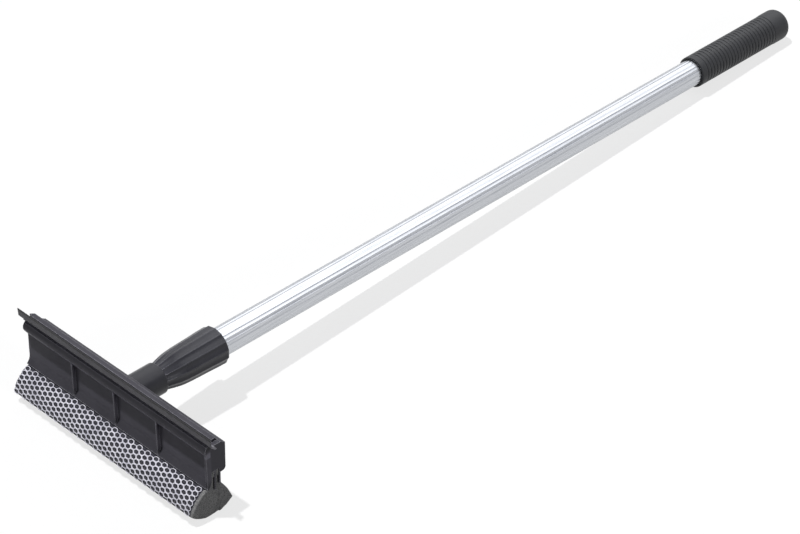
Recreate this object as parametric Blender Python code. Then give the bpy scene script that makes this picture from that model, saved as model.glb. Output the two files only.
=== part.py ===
"""Sponge squeegee: a fluted alloy pole with a moulded head that holds a wiper blade and a netted sponge.

Metres, +Z up. Each piece is modelled in the tool's own frame and the whole tool is then laid down
as it rests on a table. In the tool's frame X runs along the head, Y runs from the head to the grip
on the pole's axis, and Z runs from the sponge to the blade.
"""

import math

import bmesh
import bpy
from mathutils import Matrix, Vector

# Fits
CLEARANCE = 0.0003
CUT_OVERRUN = 0.002

# Moulded head, section heights measured from the pole's axis
HEAD_LENGTH = 0.1932
FRONT_WALL_Y = 0.0032
BODY_DEPTH = 0.0140
BODY_BELOW_AXIS = 0.0104
BODY_CORNER_RADIUS = 0.0028
LEDGE_HEIGHT = 0.0134
LEDGE_RISE = 0.0028
LIP_ROOT_HEIGHT = 0.0056
LIP_RISE = 0.0050
LIP_REACH = 0.0034
NOSE_RISE = 0.0075
NOSE_SETBACK = 0.0023
NOSE_BULGE = 0.0016
JAW_INSET = 0.0004
JAW_CHAMFER = 0.0017
CHANNEL_DEPTH = 0.0089
END_WALL = 0.0034
END_WALL_FALL = 0.0006
JAW_SETBACK = 0.0034

# Skirts that pinch the sponge's neck
SKIRT_WALL = 0.0014
SKIRT_DROP = 0.0198
SKIRT_FLARE_RADIUS = 0.0088
SKIRT_FLARE_ANGLE = math.radians(48.9)
SPONGE_SOCKET_DEPTH = 0.0133
SPONGE_NECK = 0.0059

# Ribs on the front panel
RIB_COUNT = 3
RIB_SPACING = 0.0448
RIB_THICKNESS = 0.0011
END_RIB_THICKNESS = 0.0020
RIB_SETBACK = 0.0002
RIB_FOOT_SHARE = 0.90

# Neck that takes the handle
NECK_RADIUS = 0.0120
NECK_LENGTH = 0.0238
NECK_FILLET = 0.0012
NECK_RIM_RADIUS = 0.0012
NOSE_PLUG_RADIUS = 0.0086
NOSE_PLUG_LENGTH = 0.0225

# Blade
BLADE_LENGTH = 0.2032
BLADE_THICKNESS = 0.0016
BLADE_TIP_THICKNESS = 0.0007
BLADE_REACH = 0.0093
BLADE_BEND_RISE = 0.0055
BLADE_BEND_LEAN = 0.0043
BLADE_TIP_LEAN = 0.0009
BLADE_OVERHANG_STEM = 0.0016
BEAD_THICKNESS = 0.0030
BEAD_HEIGHT = 0.0026

# Strip that wedges the blade
STRIP_DEPTH = 0.0065
STRIP_STAND = 0.0018
STRIP_STEP_DEPTH = 0.0022
STRIP_STEP_FALL = 0.0016
TONGUE_REACH = 0.0044
TONGUE_SKEW = 0.0028
TONGUE_TAPER = 0.0012
TONGUE_HEIGHT = 0.0035
STRIP_TOE_REACH = 0.0016
STRIP_TOE_HEIGHT = 0.0024
STRIP_EDGE = 0.0005

# Sponge
SPONGE_WIDTH = 0.0373
SPONGE_FORWARD = 0.0141
SPONGE_FRONT_DROP = 0.0378
SPONGE_BACK_DROP = 0.0388
SPONGE_CROWN = 0.0073
SPONGE_FRONT_BULGE = 0.0026
SPONGE_BACK_BULGE = 0.0010
REST_CUT = 0.0005
CORE_THICKNESS = 0.0012
CORE_DEPTH = 0.0170

# Net over the sponge's front
NET_THICKNESS = 0.0005
NET_STRAND = 0.0011
NET_COLUMN_PITCH = 0.00436
NET_ROW_PITCH = 0.0038
NET_ROWS = 6
NET_FIRST_ROW = 0.0023
NET_LEFT_MARGIN = 0.0002
NET_RIGHT_MARGIN = 0.0034

# Handle
COLLAR_LENGTH = 0.0548
COLLAR_RADIUS = 0.0151
COLLAR_START_RADIUS = 0.0105
COLLAR_FLUTES = 14
COLLAR_FLUTE_DEPTH = 0.0007
POLE_RADIUS = 0.0110
POLE_WALL = 0.0013
POLE_LENGTH = 0.6703
POLE_SEAT = 0.0340
POLE_FLUTES = 24
POLE_FLUTE_DEPTH = 0.00022
GRIP_LENGTH = 0.1147
GRIP_WALL = 0.0019
GRIP_END_WALL = 0.0033
GRIP_RINGS = 23
GRIP_RING_PITCH = 0.0038
GRIP_GROOVE_DEPTH = 0.0005
GRIP_PLAIN_START = 0.0065
GRIP_END_SWELL = 0.0003
GRIP_END_RADIUS = 0.0065

# Collar profile: how far along it, and how much of its widening is reached
COLLAR_LENGTH_SHARES = (0.00, 0.05, 0.105, 0.16, 0.215, 0.27, 0.34, 0.435, 0.60, 0.765, 0.875, 0.975)
COLLAR_WIDENING_SHARES = (0.00, 0.13, 0.28, 0.42, 0.55, 0.64, 0.71, 0.775, 0.84, 0.91, 0.975, 1.00)
GRIP_RIB_SHARES = (0.0, 0.70, 0.85)

# Facet counts and shading
ROUND_SIDES = 40
COLLAR_POINTS_PER_FLUTE = 4
POLE_POINTS_PER_FLUTE = 4
GRIP_SIDES = 24
ARC_STEPS = 8
SMOOTH_ANGLE = math.radians(35)

# Places in the section that several pieces share
HALF_LENGTH = HEAD_LENGTH / 2
BACK_WALL_Y = FRONT_WALL_Y + BODY_DEPTH
LIP_FRONT = (FRONT_WALL_Y - LIP_REACH, LIP_ROOT_HEIGHT + LIP_RISE)
NOSE_TOP = (LIP_FRONT[0] + NOSE_SETBACK, LIP_FRONT[1] + NOSE_RISE)
JAW_Y = FRONT_WALL_Y + JAW_INSET
BLADE_FRONT_Y = JAW_Y + CLEARANCE
BLADE_BACK_Y = BLADE_FRONT_Y + BLADE_THICKNESS
STRIP_FRONT_Y = BLADE_BACK_Y + CLEARANCE
STRIP_BACK_Y = STRIP_FRONT_Y + STRIP_DEPTH
CHANNEL_BACK_Y = STRIP_BACK_Y + CLEARANCE
CHANNEL_FLOOR = NOSE_TOP[1] - CHANNEL_DEPTH
CHANNEL_FOOT = CHANNEL_FLOOR + CLEARANCE
BEAD_FRONT_Y = BLADE_BACK_Y - BEAD_THICKNESS
BEAD_TOP = CHANNEL_FOOT + BEAD_HEIGHT
TOE_BACK_Y = STRIP_BACK_Y + STRIP_TOE_REACH
TOE_TOP = CHANNEL_FOOT + STRIP_TOE_HEIGHT
LEDGE_FRONT_HEIGHT = LEDGE_HEIGHT + LEDGE_RISE
STRIP_TOP = LEDGE_FRONT_HEIGHT + STRIP_STAND
TONGUE_FRONT_Y = STRIP_FRONT_Y + STRIP_STEP_DEPTH
BLADE_BEND_HEIGHT = NOSE_TOP[1] - JAW_CHAMFER
BLADE_TIP_HEIGHT = NOSE_TOP[1] + BLADE_REACH
CHANNEL_END_X = HALF_LENGTH - END_WALL
SOCKET_FRONT_Y = FRONT_WALL_Y + SKIRT_WALL
SOCKET_TOP = SPONGE_SOCKET_DEPTH - SKIRT_DROP
NECK_FRONT_Y = SOCKET_FRONT_Y + CLEARANCE
NECK_BACK_Y = NECK_FRONT_Y + SPONGE_NECK
SOCKET_BACK_Y = NECK_BACK_Y + CLEARANCE
BACK_SKIRT_Y = SOCKET_BACK_Y + SKIRT_WALL
NECK_TOP = SOCKET_TOP - CLEARANCE
FLARE_CENTRE_Y = FRONT_WALL_Y - SKIRT_FLARE_RADIUS
FLARE_TOP = SKIRT_FLARE_RADIUS * math.sin(SKIRT_FLARE_ANGLE) - SKIRT_DROP
NECK_END_Y = BACK_WALL_Y + NECK_LENGTH
GRIP_BORE_RADIUS = POLE_RADIUS + CLEARANCE
GRIP_RADIUS = GRIP_BORE_RADIUS + GRIP_WALL
GRIP_END_OUTER = GRIP_RADIUS + GRIP_END_SWELL
POLE_START = COLLAR_LENGTH - POLE_SEAT
POLE_END = POLE_START + POLE_LENGTH
GRIP_END = POLE_END + CLEARANCE + GRIP_END_WALL
GRIP_START = GRIP_END - GRIP_LENGTH


# Outlines in the section plane, as (y, z)
def arc(centre, radius, start, end, steps=ARC_STEPS):
    """Points on a circle about centre, from one angle to another."""
    angles = [start + (end - start) * i / steps for i in range(steps + 1)]
    return [(centre[0] + radius * math.cos(a), centre[1] + radius * math.sin(a)) for a in angles]


def circle_through(a, b, bulge):
    """Centre and radius of the circle through a and b that stands bulge to the left of their chord."""
    start, end = Vector(a), Vector(b)
    chord = end - start
    radius = (chord.length_squared / 4 + bulge * bulge) / (2 * bulge)
    left = Vector((-chord.y, chord.x)).normalized()
    return (start + end) / 2 - left * (radius - bulge), radius


def bowed(a, b, bulge, steps=ARC_STEPS):
    """Points from a to b along an arc that stands bulge to the left of the straight line."""
    centre, radius = circle_through(a, b, bulge)
    first = Vector(a) - centre
    turn = -2 * math.asin((Vector(b) - Vector(a)).length / (2 * radius))
    start = math.atan2(first.y, first.x)
    return arc(centre, radius, start, start + turn, steps)


def flare(radius, steps=ARC_STEPS):
    """The front skirt's flare, top to bottom, at a distance from its centre."""
    return arc((FLARE_CENTRE_Y, FLARE_TOP), radius, 0.0, -SKIRT_FLARE_ANGLE, steps)


# Meshes
def new_object(name, bm, parent, material):
    """Turns a bmesh into a shaded object under its parent."""
    bmesh.ops.recalc_face_normals(bm, faces=bm.faces)
    mesh = bpy.data.meshes.new(name)
    bm.to_mesh(mesh)
    bm.free()
    mesh.shade_smooth()
    mesh.set_sharp_from_angle(angle=SMOOTH_ANGLE)
    obj = bpy.data.objects.new(name, mesh)
    bpy.context.scene.collection.objects.link(obj)
    obj.parent = parent
    if material:
        mesh.materials.append(material)
    return obj


def prism(outline, x_start, x_end, origin=(0.0, 0.0)):
    """An outline in the section plane, extruded along the head."""
    bm = bmesh.new()
    verts = [bm.verts.new((x_start, y - origin[0], z - origin[1])) for y, z in outline]
    face = bm.faces.new(verts)
    swept = bmesh.ops.extrude_face_region(bm, geom=[face])
    moved = [v for v in swept["geom"] if isinstance(v, bmesh.types.BMVert)]
    bmesh.ops.translate(bm, vec=(x_end - x_start, 0.0, 0.0), verts=moved)
    return bm


def box(low, high):
    """A block between two corners."""
    bm = bmesh.new()
    bmesh.ops.create_cube(bm, size=1.0)
    for vert in bm.verts:
        vert.co = [lo + (hi - lo) * (c + 0.5) for lo, hi, c in zip(low, high, vert.co)]
    return bm


def skinned(loops):
    """A closed body over rings with equal point counts. A ring given as one point is a pole."""
    bm = bmesh.new()
    rings = [[bm.verts.new(point) for point in loop] for loop in loops]
    for first, second in zip(rings, rings[1:]):
        count = max(len(first), len(second))
        for i in range(count):
            j = (i + 1) % count
            corners = [first[i % len(first)], first[j % len(first)]]
            corners += [second[j % len(second)], second[i % len(second)]]
            bm.faces.new(list(dict.fromkeys(corners)))
    return bm, rings


def ring_of(radius, y, sides, shape=None):
    """A ring about the pole's axis, or a single point where the radius is zero."""
    if radius == 0.0:
        return [(0.0, y, 0.0)]
    points = []
    for i in range(sides):
        angle = 2 * math.pi * i / sides - math.pi / 2
        r = radius - (shape(i) if shape else 0.0)
        points.append((r * math.cos(angle), y, r * math.sin(angle)))
    return points


def turned(profile, sides):
    """A closed body of revolution about the pole's axis, from (radius, y) points, axis to axis."""
    return skinned([ring_of(radius, y, sides) for radius, y in profile])[0]


def boolean(obj, cutter, operation):
    """Joins or cuts with a helper that stays out of the build."""
    cutter.hide_render = True
    cutter.display_type = "WIRE"
    modifier = obj.modifiers.new(cutter.name, "BOOLEAN")
    modifier.operation = operation
    modifier.solver = "EXACT"
    modifier.object = cutter


def empty(name, parent, location):
    """A frame that pieces hang on."""
    obj = bpy.data.objects.new(name, None)
    obj.location = location
    obj.parent = parent
    bpy.context.scene.collection.objects.link(obj)
    return obj


def principled(name, colour, roughness, metallic=0.0):
    """A plain material in linear colour."""
    material = bpy.data.materials.new(name)
    material.use_nodes = True
    shader = material.node_tree.nodes["Principled BSDF"]
    shader.inputs["Base Color"].default_value = (*colour, 1.0)
    shader.inputs["Roughness"].default_value = roughness
    shader.inputs["Metallic"].default_value = metallic
    material.diffuse_color = (*colour, 1.0)
    return material


# The moulded head
def head_outline():
    """Section of the head: front skirt, lip, nose, blade channel, ledge, back wall and back skirt."""
    corner = BODY_CORNER_RADIUS
    body_bottom = -BODY_BELOW_AXIS
    outline = flare(SKIRT_FLARE_RADIUS)[::-1]
    outline.append((FRONT_WALL_Y, LIP_ROOT_HEIGHT))
    outline += bowed(LIP_FRONT, NOSE_TOP, NOSE_BULGE)
    outline.append((JAW_Y, BLADE_BEND_HEIGHT))
    outline.append((JAW_Y, BEAD_TOP + CLEARANCE))
    outline.append((BEAD_FRONT_Y - CLEARANCE, BEAD_TOP + CLEARANCE))
    outline.append((BEAD_FRONT_Y - CLEARANCE, CHANNEL_FLOOR))
    outline.append((TOE_BACK_Y + CLEARANCE, CHANNEL_FLOOR))
    outline.append((TOE_BACK_Y + CLEARANCE, TOE_TOP + CLEARANCE))
    outline.append((CHANNEL_BACK_Y, TOE_TOP + CLEARANCE))
    outline.append((CHANNEL_BACK_Y, LEDGE_FRONT_HEIGHT))
    outline.append((BACK_WALL_Y, LEDGE_HEIGHT))
    outline += arc((BACK_WALL_Y - corner, body_bottom + corner), corner, 0.0, -math.pi / 2, ARC_STEPS // 2)
    outline.append((BACK_SKIRT_Y, body_bottom))
    outline.append((BACK_SKIRT_Y, -SKIRT_DROP))
    outline.append((SOCKET_BACK_Y, -SKIRT_DROP))
    outline.append((SOCKET_BACK_Y, SOCKET_TOP))
    outline.append((SOCKET_FRONT_Y, SOCKET_TOP))
    outline += flare(SKIRT_FLARE_RADIUS + SKIRT_WALL)
    return outline


def rib_outline():
    """A rib that stands in front of the panel, from under the lip down into the flare."""
    foot_angle = -SKIRT_FLARE_ANGLE * RIB_FOOT_SHARE
    foot = arc((FLARE_CENTRE_Y, FLARE_TOP), SKIRT_FLARE_RADIUS, foot_angle, foot_angle, 1)[0]
    behind = SKIRT_WALL / 2
    inner = arc((FLARE_CENTRE_Y, FLARE_TOP), SKIRT_FLARE_RADIUS + behind, foot_angle, 0.0)
    top = (LIP_FRONT[0] + RIB_SETBACK, LIP_FRONT[1] - RIB_SETBACK)
    return [top, foot, *inner, (FRONT_WALL_Y + behind, LIP_ROOT_HEIGHT + behind)]


def end_wall_outline():
    """Plug that closes the blade channel at its right end, under the overhanging blade."""
    front = BEAD_FRONT_Y - 2 * CLEARANCE
    back = TOE_BACK_Y + 2 * CLEARANCE
    floor = CHANNEL_FLOOR - CLEARANCE
    front_top = (JAW_Y - CLEARANCE, BLADE_BEND_HEIGHT)
    rear_top = (CHANNEL_BACK_Y + CLEARANCE, LEDGE_FRONT_HEIGHT - END_WALL_FALL)
    return [(front, floor), (front, BEAD_TOP), front_top, rear_top, (back, TOE_TOP), (back, floor)]


def neck():
    """Round neck with a filleted root, a rounded rim and the blind bore for the handle's plug."""
    root = (TOE_BACK_Y + CLEARANCE + BACK_WALL_Y) / 2
    bore = NOSE_PLUG_RADIUS + CLEARANCE
    bore_floor = NECK_END_Y - NOSE_PLUG_LENGTH - CLEARANCE
    fillet_centre = (NECK_RADIUS + NECK_FILLET, BACK_WALL_Y + NECK_FILLET)
    rim_centre = (NECK_RADIUS - NECK_RIM_RADIUS, NECK_END_Y - NECK_RIM_RADIUS)
    profile = [(0.0, root), (NECK_RADIUS + NECK_FILLET, root)]
    profile += arc(fillet_centre, NECK_FILLET, 1.5 * math.pi, math.pi, ARC_STEPS // 2)
    profile += arc(rim_centre, NECK_RIM_RADIUS, 0.0, math.pi / 2, ARC_STEPS // 2)
    profile += [(bore, NECK_END_Y), (bore, bore_floor), (0.0, bore_floor)]
    return turned(profile, ROUND_SIDES)


def make_head(tool, material):
    head = new_object("head_frame", prism(head_outline(), -HALF_LENGTH, HALF_LENGTH), tool, material)
    boolean(head, new_object("neck_shape", neck(), tool, None), "UNION")
    end_wall = prism(end_wall_outline(), CHANNEL_END_X, HALF_LENGTH)
    boolean(head, new_object("channel_end_wall", end_wall, tool, None), "UNION")
    half_thickness = RIB_THICKNESS / 2
    first = -RIB_SPACING * (RIB_COUNT - 1) / 2
    spans = [(first + RIB_SPACING * i - half_thickness, RIB_THICKNESS) for i in range(RIB_COUNT)]
    spans.append((HALF_LENGTH - END_RIB_THICKNESS, END_RIB_THICKNESS))
    for i, (start, thickness) in enumerate(spans):
        rib = prism(rib_outline(), start, start + thickness)
        boolean(head, new_object(f"rib_{i}", rib, tool, None), "UNION")
    low = (-HALF_LENGTH - CUT_OVERRUN, CHANNEL_BACK_Y, CHANNEL_FLOOR)
    high = (JAW_SETBACK - HALF_LENGTH, BACK_WALL_Y + CUT_OVERRUN, LEDGE_FRONT_HEIGHT + CUT_OVERRUN)
    boolean(head, new_object("jaw_setback", box(low, high), tool, None), "DIFFERENCE")
    return head


# Blade and the strip that holds it
def blade_lean(share):
    """How far forward the lip has leaned at a share of its free height, and how steeply it leans there."""
    free_height = BLADE_TIP_HEIGHT - BLADE_BEND_HEIGHT
    bend = math.pi * min(share * free_height / BLADE_BEND_RISE, 1.0)
    lean = BLADE_BEND_LEAN * (1 - math.cos(bend)) / 2 + BLADE_TIP_LEAN * share ** 3
    slope = BLADE_BEND_LEAN * math.pi * math.sin(bend) / (2 * BLADE_BEND_RISE)
    return lean, slope + 3 * BLADE_TIP_LEAN * share ** 2 / free_height


def blade_outline():
    """Foot bead, stem in the channel, and a free lip that bends forward over the nose and thins upwards."""
    steps = 3 * ARC_STEPS
    middle = (BLADE_FRONT_Y + BLADE_BACK_Y) / 2
    front, back = [], []
    for i in range(steps + 1):
        share = i / steps
        height = BLADE_BEND_HEIGHT + (BLADE_TIP_HEIGHT - BLADE_BEND_HEIGHT) * share
        lean, slope = blade_lean(share)
        half = (BLADE_THICKNESS + (BLADE_TIP_THICKNESS - BLADE_THICKNESS) * share) / 2
        normal = Vector((1.0, slope)).normalized() * half
        front.append((middle - lean - normal.x, height - normal.y))
        back.append((middle - lean + normal.x, height + normal.y))
    outline = [(BEAD_FRONT_Y, CHANNEL_FOOT), (BEAD_FRONT_Y, BEAD_TOP), (BLADE_FRONT_Y, BEAD_TOP)]
    return outline + front + back[::-1] + [(BLADE_BACK_Y, CHANNEL_FOOT)]


def make_blade(track, origin, material):
    half = BLADE_LENGTH / 2
    blade = new_object("squeegee_blade", prism(blade_outline(), -half, half, origin), track, material)
    low_y = BEAD_FRONT_Y - CUT_OVERRUN - origin[0]
    high_y = BLADE_BACK_Y + CUT_OVERRUN - origin[0]
    low_z = CHANNEL_FOOT - CUT_OVERRUN - origin[1]
    past_left_end = (-half - CUT_OVERRUN, -HALF_LENGTH, BLADE_BEND_HEIGHT - BLADE_OVERHANG_STEM)
    over_end_wall = (CHANNEL_END_X - CLEARANCE, half + CUT_OVERRUN, BLADE_BEND_HEIGHT + 2 * CLEARANCE)
    for i, (start, end, top) in enumerate([past_left_end, over_end_wall]):
        notch = box((start, low_y, low_z), (end, high_y, top - origin[1]))
        boolean(blade, new_object(f"blade_notch_{i}", notch, track, None), "DIFFERENCE")
    return blade


def strip_outline():
    """Wedge strip: a toe under the back wall's hook, and a step whose rear half stands above the ledge."""
    step_top = STRIP_TOP - STRIP_STEP_FALL
    return [
        (STRIP_FRONT_Y, CHANNEL_FOOT),
        (STRIP_FRONT_Y, step_top),
        (TONGUE_FRONT_Y, step_top),
        *tongue_top(),
        (STRIP_BACK_Y, TOE_TOP),
        (TOE_BACK_Y, TOE_TOP),
        (TOE_BACK_Y, CHANNEL_FOOT),
    ]


def tongue_top():
    """The strip's raised rear half, from its front edge over to its back face."""
    top = [(TONGUE_FRONT_Y, STRIP_TOP), (STRIP_BACK_Y - STRIP_EDGE, STRIP_TOP)]
    return [*top, (STRIP_BACK_Y, STRIP_TOP - STRIP_EDGE)]


def make_strip(track, origin, material):
    """The strip, with a tapered tongue past its left end to push the blade set out by."""
    body = prism(strip_outline(), -HALF_LENGTH, CHANNEL_END_X - CLEARANCE, origin)
    strip = new_object("blade_clamp_strip", body, track, material)
    under = STRIP_TOP - TONGUE_HEIGHT
    section = [(TONGUE_FRONT_Y, under), *tongue_top(), (STRIP_BACK_Y, under)]
    tongue = prism(section, -HALF_LENGTH - TONGUE_REACH, CUT_OVERRUN - HALF_LENGTH, origin)
    for vert in tongue.verts:
        if vert.co.x < -HALF_LENGTH:
            share = (vert.co.y + origin[0] - TONGUE_FRONT_Y) / (STRIP_BACK_Y - TONGUE_FRONT_Y)
            vert.co.x += TONGUE_SKEW * share
            vert.co.y += TONGUE_TAPER * (1 - share)
    boolean(strip, new_object("tongue", tongue, track, None), "UNION")
    return strip


# Sponge, its core strip and its net
def sponge_places():
    """The sponge's corners: front shoulder and front corner on the net's outer face, then the back."""
    shoulder = flare(SKIRT_FLARE_RADIUS)[-1]
    front_shoulder = (shoulder[0] - CLEARANCE, shoulder[1] - CLEARANCE)
    front_corner = (-SPONGE_FORWARD, -SPONGE_FRONT_DROP)
    back_corner = (SPONGE_WIDTH - SPONGE_FORWARD, -SPONGE_BACK_DROP)
    back_shoulder = (BACK_SKIRT_Y + CLEARANCE, -SKIRT_DROP - CLEARANCE)
    return front_shoulder, front_corner, back_corner, back_shoulder


def face_arc():
    """Centre, radius, start angle and turn of the net's outer face, shoulder to lower corner."""
    shoulder, corner, _, _ = sponge_places()
    centre, radius = circle_through(corner, shoulder, SPONGE_FRONT_BULGE)
    start = math.atan2(shoulder[1] - centre.y, shoulder[0] - centre.x)
    chord = (Vector(corner) - Vector(shoulder)).length
    return centre, radius, start, 2 * math.asin(chord / (2 * radius))


def crown_circle():
    """Circle of the sponge's underside."""
    _, front_corner, back_corner, _ = sponge_places()
    return circle_through(back_corner, front_corner, SPONGE_CROWN)


def sponge_outline():
    """Neck with a slot for the core strip, bulging front and back, and a crowned underside."""
    _, _, back_corner, back_shoulder = sponge_places()
    centre, radius, start, turn = face_arc()
    backing = radius - NET_THICKNESS - CLEARANCE
    front = arc(centre, backing, start + SKIRT_WALL / radius, start + turn)
    underside = bowed(back_corner, front[-1], SPONGE_CROWN, 2 * ARC_STEPS)[::-1]
    slot_half = CORE_THICKNESS / 2 + CLEARANCE
    slot_middle = (NECK_FRONT_Y + NECK_BACK_Y) / 2
    slot_floor = NECK_TOP - CORE_DEPTH - CLEARANCE
    outline = flare(SKIRT_FLARE_RADIUS + SKIRT_WALL + CLEARANCE) + front
    outline += underside[1:]
    outline += bowed(back_shoulder, back_corner, SPONGE_BACK_BULGE)[-2::-1]
    outline += [(NECK_BACK_Y, back_shoulder[1]), (NECK_BACK_Y, NECK_TOP)]
    outline += [(slot_middle + slot_half, NECK_TOP), (slot_middle + slot_half, slot_floor)]
    outline += [(slot_middle - slot_half, slot_floor), (slot_middle - slot_half, NECK_TOP)]
    return outline + [(NECK_FRONT_Y, NECK_TOP)]


def rest_tilt():
    """Angle between the pole's axis and the table when the sponge and the grip's end lie on it."""
    centre, radius = crown_circle()
    along = NECK_END_Y + GRIP_END - GRIP_END_RADIUS - centre.x
    drop = centre.y + GRIP_END_OUTER
    reach = math.hypot(along, drop)
    return math.asin((radius - REST_CUT) / reach) - math.atan2(drop, along)


def make_sponge(tool, material):
    """The foam, cut flat where it rests on the table."""
    bm = prism(sponge_outline(), -HALF_LENGTH, HALF_LENGTH)
    centre, radius = crown_circle()
    tilt = rest_tilt()
    down = Vector((0.0, math.sin(tilt), -math.cos(tilt)))
    table = Vector((0.0, *centre)) + down * (radius - REST_CUT)
    everything = [*bm.verts, *bm.edges, *bm.faces]
    cut = bmesh.ops.bisect_plane(bm, geom=everything, plane_co=table, plane_no=down, clear_outer=True)
    edges = [g for g in cut["geom_cut"] if isinstance(g, bmesh.types.BMEdge)]
    bmesh.ops.contextual_create(bm, geom=edges)
    return new_object("sponge", bm, tool, material)


def make_core(tool, material):
    """Flat strip in the fold of the sponge's neck."""
    middle = (NECK_FRONT_Y + NECK_BACK_Y) / 2
    half = CORE_THICKNESS / 2
    end = HALF_LENGTH - CLEARANCE
    strip = box((-end, middle - half, NECK_TOP - CORE_DEPTH), (end, middle + half, NECK_TOP))
    return new_object("sponge_core_strip", strip, tool, material)


def net_holes():
    """Hole corners of the net by column and row, in (x, distance down the face), with a rim of ghosts."""
    span = HEAD_LENGTH - NET_LEFT_MARGIN - NET_RIGHT_MARGIN
    middle = (NET_LEFT_MARGIN - NET_RIGHT_MARGIN) / 2
    columns = int((span - NET_STRAND) / NET_COLUMN_PITCH)
    half_x = NET_COLUMN_PITCH * 2 / 3 - NET_STRAND / 2
    half_s = (NET_ROW_PITCH - NET_STRAND) / 2
    start_x = middle - NET_COLUMN_PITCH * (columns - 1) / 2
    holes = {}
    for i in range(-1, columns + 1):
        for j in range(-1, NET_ROWS + 1):
            x = start_x + NET_COLUMN_PITCH * i
            s = NET_FIRST_ROW + NET_ROW_PITCH * (j + (i % 2) / 2)
            corners = [(x + half_x, s), (x + half_x / 2, s + half_s), (x - half_x / 2, s + half_s)]
            corners += [(x - half_x, s), (x - half_x / 2, s - half_s), (x + half_x / 2, s - half_s)]
            holes[i, j] = corners
    real = {(i, j) for i in range(columns) for j in range(NET_ROWS - i % 2)}
    return holes, real


def make_net(tool, material):
    """Knitted net on the sponge's front: strands between neighbouring holes, and their joins."""
    centre, radius, start, _ = face_arc()
    holes, real = net_holes()
    bm = bmesh.new()
    verts = {}

    def corner(cell, index):
        if (cell, index) not in verts:
            x, s = holes[cell][index]
            angle = start + s / radius
            place = (x, centre.x + radius * math.cos(angle), centre.y + radius * math.sin(angle))
            verts[cell, index] = bm.verts.new(place)
        return verts[cell, index]

    def add(cells, corners):
        if all(c in holes for c in cells) and any(c in real for c in cells):
            bm.faces.new([corner(c, k) for c, k in corners])

    for i, j in holes:
        own = (i, j)
        low = (i + 1, j + i % 2)
        high = (i + 1, j + i % 2 - 1)
        under = (i, j + 1)
        add((own, under), [(own, 1), (own, 2), (under, 4), (under, 5)])
        add((own, low), [(own, 0), (own, 1), (low, 3), (low, 4)])
        add((own, high), [(own, 5), (own, 0), (high, 2), (high, 3)])
        add((own, low, under), [(own, 1), (under, 5), (low, 3)])
        add((own, low, high), [(own, 0), (low, 4), (high, 2)])
    net = new_object("net_cover", bm, tool, material)
    wall = net.modifiers.new("strand thickness", "SOLIDIFY")
    wall.thickness = NET_THICKNESS
    wall.offset = -1.0
    return net


# Handle, measured along the axis from the neck's rim
def make_adapter(axis, material):
    """Plug in the neck and a fluted hand collar with a seat for the pole."""
    widening = COLLAR_RADIUS - COLLAR_START_RADIUS
    points = COLLAR_POINTS_PER_FLUTE
    sides = COLLAR_FLUTES * points

    def flute(index):
        return COLLAR_FLUTE_DEPTH * math.sin(math.pi * (index % points) / points)

    bore = POLE_RADIUS + CLEARANCE
    seat = POLE_START - CLEARANCE
    tip = -NOSE_PLUG_LENGTH + CLEARANCE
    loops = [ring_of(0.0, tip, sides), ring_of(NOSE_PLUG_RADIUS, tip, sides)]
    loops.append(ring_of(NOSE_PLUG_RADIUS, CLEARANCE, sides))
    for length_share, widening_share in zip(COLLAR_LENGTH_SHARES, COLLAR_WIDENING_SHARES):
        y = CLEARANCE + (COLLAR_LENGTH - CLEARANCE) * length_share
        loops.append(ring_of(COLLAR_START_RADIUS + widening * widening_share, y, sides, flute))
    rim = (COLLAR_RADIUS + bore) / 2
    loops.append(ring_of(rim, COLLAR_LENGTH, sides))
    loops += [ring_of(bore, COLLAR_LENGTH, sides), ring_of(bore, seat, sides), ring_of(0.0, seat, sides)]
    return new_object("handle_adapter", skinned(loops)[0], axis, material)


def make_pole(axis, material):
    """Drawn tube with fine flutes outside and a plain bore."""
    points = POLE_POINTS_PER_FLUTE
    sides = POLE_FLUTES * points

    def flute(index):
        return POLE_FLUTE_DEPTH * math.sin(math.pi * (index % points) / points)

    inner = POLE_RADIUS - POLE_WALL
    loops = [ring_of(POLE_RADIUS, POLE_START, sides, flute), ring_of(POLE_RADIUS, POLE_END, sides, flute)]
    loops += [ring_of(inner, POLE_END, sides), ring_of(inner, POLE_START, sides)]
    bm, rings = skinned(loops)
    for i in range(sides):
        j = (i + 1) % sides
        bm.faces.new([rings[-1][i], rings[-1][j], rings[0][j], rings[0][i]])
    return new_object("pole", bm, axis, material)


def make_grip(axis, material):
    """Ringed sleeve with a plain, slightly swollen, domed end."""
    bore_end = POLE_END + CLEARANCE
    first_ring = GRIP_START + GRIP_PLAIN_START
    profile = [(GRIP_BORE_RADIUS, GRIP_START), (GRIP_RADIUS, GRIP_START)]
    for i in range(GRIP_RINGS):
        for share in GRIP_RIB_SHARES:
            groove = GRIP_GROOVE_DEPTH if share == GRIP_RIB_SHARES[-1] else 0.0
            profile.append((GRIP_RADIUS - groove, first_ring + GRIP_RING_PITCH * (i + share)))
    swell_start = first_ring + GRIP_RING_PITCH * GRIP_RINGS
    profile += [(GRIP_RADIUS, swell_start), (GRIP_END_OUTER, swell_start + GRIP_END_SWELL)]
    dome_centre = (GRIP_END_OUTER - GRIP_END_RADIUS, GRIP_END - GRIP_END_RADIUS)
    profile += arc(dome_centre, GRIP_END_RADIUS, 0.0, math.pi / 2, ARC_STEPS // 2)
    profile += [(0.0, GRIP_END)]
    inside = [(0.0, bore_end), (GRIP_BORE_RADIUS, bore_end)]
    loops = [ring_of(radius, y, GRIP_SIDES) for radius, y in inside + profile]
    return new_object("grip", skinned(loops)[0], axis, material)


# Assembly
def places_along(name):
    """Every point of a finished piece, as its place along the table."""
    piece = bpy.data.objects[name].evaluated_get(bpy.context.evaluated_depsgraph_get())
    return [(piece.matrix_world @ vert.co).y for vert in piece.data.vertices]


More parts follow.
